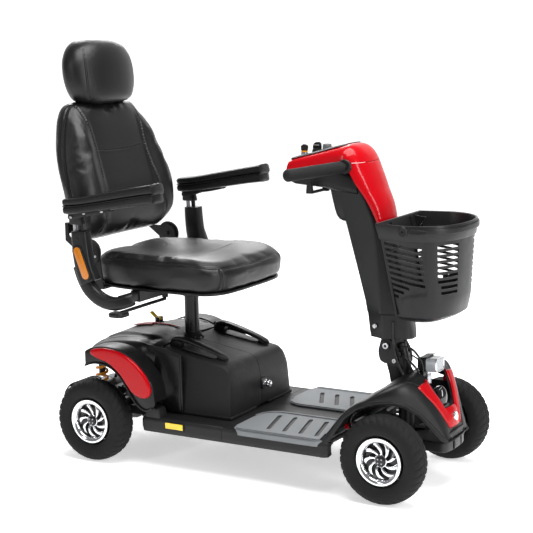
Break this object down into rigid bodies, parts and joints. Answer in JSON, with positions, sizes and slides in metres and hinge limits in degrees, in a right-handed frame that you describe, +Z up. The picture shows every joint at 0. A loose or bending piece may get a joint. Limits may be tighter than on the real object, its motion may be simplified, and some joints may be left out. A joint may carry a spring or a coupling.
{
  "type": "mobility scooter",
  "caption": "Four-wheel mobility scooter with a swivel seat, flip-up arms, a tilting tiller and a front basket.",
  "frame": {"origin": "ground point below the middle of the scooter's length and width", "axes": "+X forward, +Y to the rider's left, +Z up"},
  "size_m": [1.2465, 0.6216, 1.1629],
  "materials": {
    "frame_black": "satin black powder coat",
    "deck_black": "fine moulded grain",
    "mat_grey": "matt moulded rubber",
    "shroud_black": "satin moulded plastic",
    "red_gloss": "high gloss red",
    "bumper_grey": "satin dark grey",
    "alloy": "cast alloy",
    "battery_grey": "textured charcoal plastic",
    "cell_grey": "matt battery case",
    "drive_metal": "cast housing",
    "spring_orange": "gloss orange paint",
    "lever_yellow": "yellow plastic",
    "wheel_black": "small black roller",
    "tyre_black": "black rubber",
    "rim_chrome": "polished ring on a dark dished centre",
    "stem_black": "satin black casting",
    "steel": "zinc-plated steel",
    "lamp": "clear lens in a black body",
    "column_black": "satin moulded plastic",
    "console_black": "matt control panel",
    "bar_black": "satin black tube",
    "grip_black": "foam grip",
    "knob_grey": "knurled grey plastic",
    "button_amber": "amber button",
    "basket_black": "satin moulded plastic",
    "cable_black": "glossy cable jacket",
    "post_black": "satin black tube",
    "leatherette": "black soft-grained leatherette",
    "chrome": "polished",
    "arm_grey": "satin dark grey plastic",
    "pad_black": "soft moulded pad"
  },
  "bodies": {
    "chassis": {"chassis_frame": "frame_black", "deck_pan": "deck_black", "floor_mats": "mat_grey", "rear_shroud": "shroud_black", "rear_fenders": "shroud_black", "rear_fender_trims": "red_gloss", "front_fender": "shroud_black", "front_trim": "red_gloss", "front_bumper": "bumper_grey", "controller_box": "alloy", "suspension_springs": "spring_orange"},
    "drive_unit": {"swing_arm": "frame_black", "transaxle": "drive_metal"},
    "freewheel": {"freewheel_lever": "lever_yellow"},
    "anti_tip": {"anti_tip_wheels": "wheel_black"},
    "rear_wheel_left": {"rear_tyre_left": "tyre_black", "rear_rim_left": "rim_chrome"},
    "rear_wheel_right": {"rear_tyre_right": "tyre_black", "rear_rim_right": "rim_chrome"},
    "front_wheel_left": {"front_tyre_left": "tyre_black", "front_rim_left": "rim_chrome"},
    "front_wheel_right": {"front_tyre_right": "tyre_black", "front_rim_right": "rim_chrome"},
    "stem": {"steering_stem": "stem_black", "headlight": "lamp", "tiller_cable": "cable_black"},
    "knuckle_l": {"knuckle_left": "frame_black"},
    "knuckle_r": {"knuckle_right": "frame_black"},
    "track_rod": {"tie_rod": "steel"},
    "tiller": {"tiller_frame": "stem_black", "tiller_cover": "column_black", "tiller_cowl": "red_gloss", "console_panel": "console_black", "handlebar": "bar_black", "handlebar_grips": "grip_black"},
    "throttle": {"throttle_lever": "column_black"},
    "key": {"ignition_key": "console_black"},
    "dial": {"speed_dial": "console_black"},
    "lights": {"light_knob": "knob_grey"},
    "horn": {"horn_button": "button_amber"},
    "basket_body": {"basket": "basket_black"},
    "bail": {"basket_handle": "basket_black"},
    "post": {"seat_post": "post_black"},
    "seat": {"seat_frame": "frame_black", "seat_cushion": "leatherette"},
    "back": {"backrest_frame": "frame_black", "backrest_cushion": "leatherette"},
    "headrest": {"headrest_cushion": "leatherette", "headrest_posts": "chrome"},
    "bracket_l": {"arm_bracket_left": "arm_grey"},
    "bracket_r": {"arm_bracket_right": "arm_grey"},
    "arm_l": {"arm_rail_left": "arm_grey", "arm_pad_left": "pad_black"},
    "arm_r": {"arm_rail_right": "arm_grey", "arm_pad_right": "pad_black"},
    "swivel": {"swivel_lever": "arm_grey"},
    "battery_l": {"battery_case_left": "battery_grey", "battery_cells_left": "cell_grey"},
    "battery_r": {"battery_case_right": "battery_grey", "battery_cells_right": "cell_grey"}
  },
  "joints": [
    {"name": "rear_suspension", "type": "hinge", "parent": "chassis", "child": "drive_unit", "pos_m": [-0.263, 0, 0.118], "axis": [0, 1, 0], "range_deg": [-3, 3], "stiffness_Nm_per_rad": 2500, "deforming": ["suspension_springs"]},
    {"name": "freewheel_turn", "type": "hinge", "parent": "chassis", "child": "freewheel", "pos_m": [-0.386, 0.051, 0.35], "axis": [0, 1, 0], "range_deg": [0, 45]},
    {"name": "anti_tip_spin", "type": "hinge", "parent": "drive_unit", "child": "anti_tip", "pos_m": [-0.603, 0, 0.04], "axis": [0, 1, 0], "continuous": true},
    {"name": "rear_left_spin", "type": "hinge", "parent": "drive_unit", "child": "rear_wheel_left", "pos_m": [-0.413, 0.238, 0.115], "axis": [0, 1, 0], "continuous": true},
    {"name": "rear_right_spin", "type": "hinge", "parent": "drive_unit", "child": "rear_wheel_right", "pos_m": [-0.413, -0.238, 0.115], "axis": [0, 1, 0], "continuous": true},
    {"name": "steering", "type": "hinge", "parent": "chassis", "child": "stem", "pos_m": [0.432, 0, 0.2], "axis": [0, 0, 1], "range_deg": [-30, 30]},
    {"name": "knuckle_left_turn", "type": "hinge", "parent": "chassis", "child": "knuckle_l", "pos_m": [0.464, 0.16, 0.115], "axis": [0, 0, 1], "range_deg": [-30, 30]},
    {"name": "knuckle_right_turn", "type": "hinge", "parent": "chassis", "child": "knuckle_r", "pos_m": [0.464, -0.16, 0.115], "axis": [0, 0, 1], "range_deg": [-30, 30]},
    {"name": "track_rod_turn", "type": "hinge", "parent": "knuckle_l", "child": "track_rod", "pos_m": [0.409, 0.16, 0.098], "axis": [0, 0, 1], "range_deg": [-30, 30]},
    {"name": "front_left_spin", "type": "hinge", "parent": "knuckle_l", "child": "front_wheel_left", "pos_m": [0.464, 0.214, 0.115], "axis": [0, 1, 0], "continuous": true},
    {"name": "front_right_spin", "type": "hinge", "parent": "knuckle_r", "child": "front_wheel_right", "pos_m": [0.464, -0.214, 0.115], "axis": [0, 1, 0], "continuous": true},
    {"name": "tiller_tilt", "type": "hinge", "parent": "stem", "child": "tiller", "pos_m": [0.391, 0, 0.364], "axis": [0, -1, 0], "range_deg": [-15, 10], "deforming": ["tiller_cable"]},
    {"name": "throttle_rock", "type": "hinge", "parent": "tiller", "child": "throttle", "pos_m": [0.199, 0, 0.764], "axis": [0, 0, 1], "range_deg": [-12, 12], "stiffness_Nm_per_rad": 0.5},
    {"name": "key_turn", "type": "hinge", "parent": "tiller", "child": "key", "pos_m": [0.144, -0.016, 0.86], "axis": [0, 0, 1], "range_deg": [-90, 0]},
    {"name": "dial_turn", "type": "hinge", "parent": "tiller", "child": "dial", "pos_m": [0.172, 0.004, 0.865], "axis": [0, 0, 1], "range_deg": [-135, 135]},
    {"name": "lights_turn", "type": "hinge", "parent": "tiller", "child": "lights", "pos_m": [0.207, -0.006, 0.87], "axis": [0, 0, 1], "range_deg": [-90, 0]},
    {"name": "horn_press", "type": "slide", "parent": "tiller", "child": "horn", "axis": [0, 0, -1], "range_m": [0, 0.003], "stiffness_N_per_m": 300},
    {"name": "basket_lift", "type": "slide", "parent": "tiller", "child": "basket_body", "axis": [0, 0, 1], "range_m": [0, 0.15]},
    {"name": "bail_swing", "type": "hinge", "parent": "basket_body", "child": "bail", "pos_m": [0.492, 0, 0.686], "axis": [0, -1, 0], "range_deg": [0, 95]},
    {"name": "seat_height", "type": "slide", "parent": "chassis", "child": "post", "axis": [0, 0, 1], "range_m": [0, 0.08]},
    {"name": "seat_swivel", "type": "hinge", "parent": "post", "child": "seat", "pos_m": [-0.237, 0, 0.46], "axis": [0, 0, -1], "range_deg": [-90, 90]},
    {"name": "back_fold", "type": "hinge", "parent": "seat", "child": "back", "pos_m": [-0.441, 0, 0.583], "axis": [0, 1, 0], "range_deg": [-12, 65]},
    {"name": "headrest_height", "type": "slide", "parent": "back", "child": "headrest", "axis": [-0.1736, 0, 0.9848], "range_m": [0, 0.06]},
    {"name": "arm_width_left", "type": "slide", "parent": "seat", "child": "bracket_l", "axis": [0, 1, 0], "range_m": [0, 0.05]},
    {"name": "arm_width_right", "type": "slide", "parent": "seat", "child": "bracket_r", "axis": [0, -1, 0], "range_m": [0, 0.05]},
    {"name": "arm_flip_left", "type": "hinge", "parent": "bracket_l", "child": "arm_l", "pos_m": [-0.427, 0.281, 0.693], "axis": [0, -1, 0], "range_deg": [0, 80]},
    {"name": "arm_flip_right", "type": "hinge", "parent": "bracket_r", "child": "arm_r", "pos_m": [-0.427, -0.281, 0.693], "axis": [0, -1, 0], "range_deg": [0, 80]},
    {"name": "swivel_lever_pull", "type": "hinge", "parent": "seat", "child": "swivel", "pos_m": [-0.293, -0.048, 0.445], "axis": [0, 0, 1], "range_deg": [-12, 0], "stiffness_Nm_per_rad": 2},
    {"name": "battery_lift_left", "type": "slide", "parent": "chassis", "child": "battery_l", "axis": [0, 0, 1], "range_m": [0, 0.08]},
    {"name": "battery_lift_right", "type": "slide", "parent": "chassis", "child": "battery_r", "axis": [0, 0, 1], "range_m": [0, 0.08]}
  ],
  "couplings": [
    {"joint": "knuckle_left_turn", "follows": "steering", "ratio": 1},
    {"joint": "knuckle_right_turn", "follows": "steering", "ratio": 1},
    {"joint": "track_rod_turn", "follows": "steering", "ratio": -1}
  ]
}
